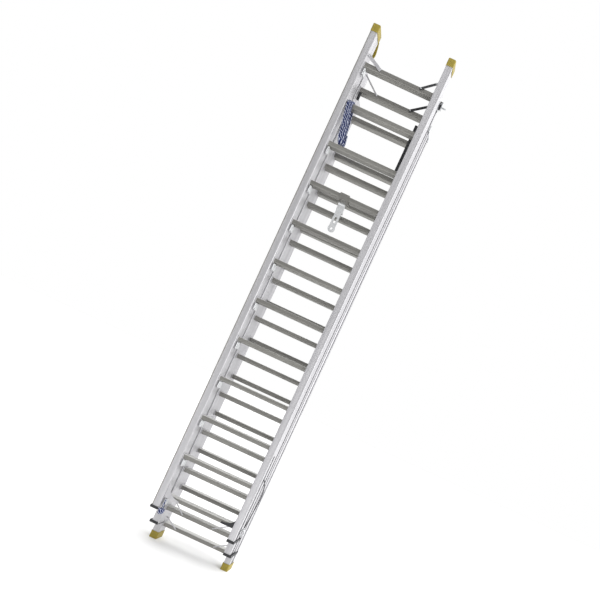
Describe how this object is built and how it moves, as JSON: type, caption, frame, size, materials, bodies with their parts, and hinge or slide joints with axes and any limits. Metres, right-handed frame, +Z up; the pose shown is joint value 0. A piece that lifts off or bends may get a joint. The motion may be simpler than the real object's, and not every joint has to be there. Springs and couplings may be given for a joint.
{
  "type": "extension ladder",
  "caption": "Rope-operated aluminium extension ladder, closed: nested channel-stile sections with boxy tube rungs, yellow end caps and feet, a rung lock and a rope hank.",
  "frame": {"origin": "on the ground, midway between the two feet across X and midway through the three sections in Y", "axes": "+Z up along the stiles, +X along the rungs, -Y towards the climber (the fly is in front, the base behind)"},
  "size_m": [0.634, 0.273, 3.687],
  "materials": {
    "stile_alloy": "satin mill-finish extrusion with fine draw lines",
    "rung_alloy": "darker ribbed extrusion, satin",
    "cast_alloy": "sand-cast, tumbled",
    "plated_steel": "zinc plated",
    "yellow_plastic": "moulded, fine grain",
    "black_plastic": "moulded nylon",
    "rope": "navy three-strand rope with a pale tracer"
  },
  "bodies": {
    "base": {"base_rung_01": "rung_alloy", "base_rung_02": "rung_alloy", "base_rung_03": "rung_alloy", "base_rung_04": "rung_alloy", "base_rung_05": "rung_alloy", "base_rung_06": "rung_alloy", "base_rung_07": "rung_alloy", "base_rung_08": "rung_alloy", "base_rung_09": "rung_alloy", "base_rung_10": "rung_alloy", "base_rung_11": "rung_alloy", "base_rung_12": "rung_alloy", "base_stile_left": "stile_alloy", "base_stile_right": "stile_alloy", "base_top_guide_left": "cast_alloy", "base_top_guide_right": "cast_alloy", "foot_left": "yellow_plastic", "foot_right": "yellow_plastic"},
    "mid": {"mid_guide_left": "black_plastic", "mid_guide_right": "black_plastic", "mid_rung_01": "rung_alloy", "mid_rung_02": "rung_alloy", "mid_rung_03": "rung_alloy", "mid_rung_04": "rung_alloy", "mid_rung_05": "rung_alloy", "mid_rung_06": "rung_alloy", "mid_rung_07": "rung_alloy", "mid_rung_08": "rung_alloy", "mid_rung_09": "rung_alloy", "mid_rung_10": "rung_alloy", "mid_rung_12": "rung_alloy", "mid_stile_left": "stile_alloy", "mid_stile_right": "stile_alloy", "sheave_fork": "plated_steel"},
    "fly": {"fly_cap_left": "yellow_plastic", "fly_cap_right": "yellow_plastic", "fly_guide_left": "black_plastic", "fly_guide_right": "black_plastic", "fly_rung_01": "rung_alloy", "fly_rung_02": "rung_alloy", "fly_rung_03": "rung_alloy", "fly_rung_04": "rung_alloy", "fly_rung_05": "rung_alloy", "fly_rung_06": "rung_alloy", "fly_rung_07": "rung_alloy", "fly_rung_08": "rung_alloy", "fly_rung_09": "rung_alloy", "fly_rung_10": "rung_alloy", "fly_rung_11": "rung_alloy", "fly_rung_12": "rung_alloy", "fly_stile_left": "stile_alloy", "fly_stile_right": "stile_alloy", "lock_bracket": "rung_alloy", "lock_pin": "plated_steel", "rope_hank": "rope", "rope_knot": "rope", "side_cord": "rope", "snap_hook": "plated_steel"},
    "lock": {"lock_lever": "cast_alloy"},
    "sheave": {"rope_sheave": "black_plastic"}
  },
  "joints": [
    {"name": "mid_slide", "type": "slide", "parent": "base", "child": "mid", "axis": [0, 0, 1], "range_m": [0, 2.52]},
    {"name": "fly_slide", "type": "slide", "parent": "mid", "child": "fly", "axis": [0, 0, 1], "range_m": [0, 2.52]},
    {"name": "lock_swing", "type": "hinge", "parent": "fly", "child": "lock", "pos_m": [0, -0.088, 2.552], "axis": [1, 0, 0], "range_deg": [-25, 18]},
    {"name": "sheave_turn", "type": "hinge", "parent": "mid", "child": "sheave", "pos_m": [0.295, 0, 3.461], "axis": [1, 0, 0], "continuous": true}
  ],
  "couplings": [
    {"joint": "fly_slide", "follows": "mid_slide", "ratio": 1},
    {"joint": "sheave_turn", "follows": "mid_slide", "rad_per_m": -55.556}
  ]
}
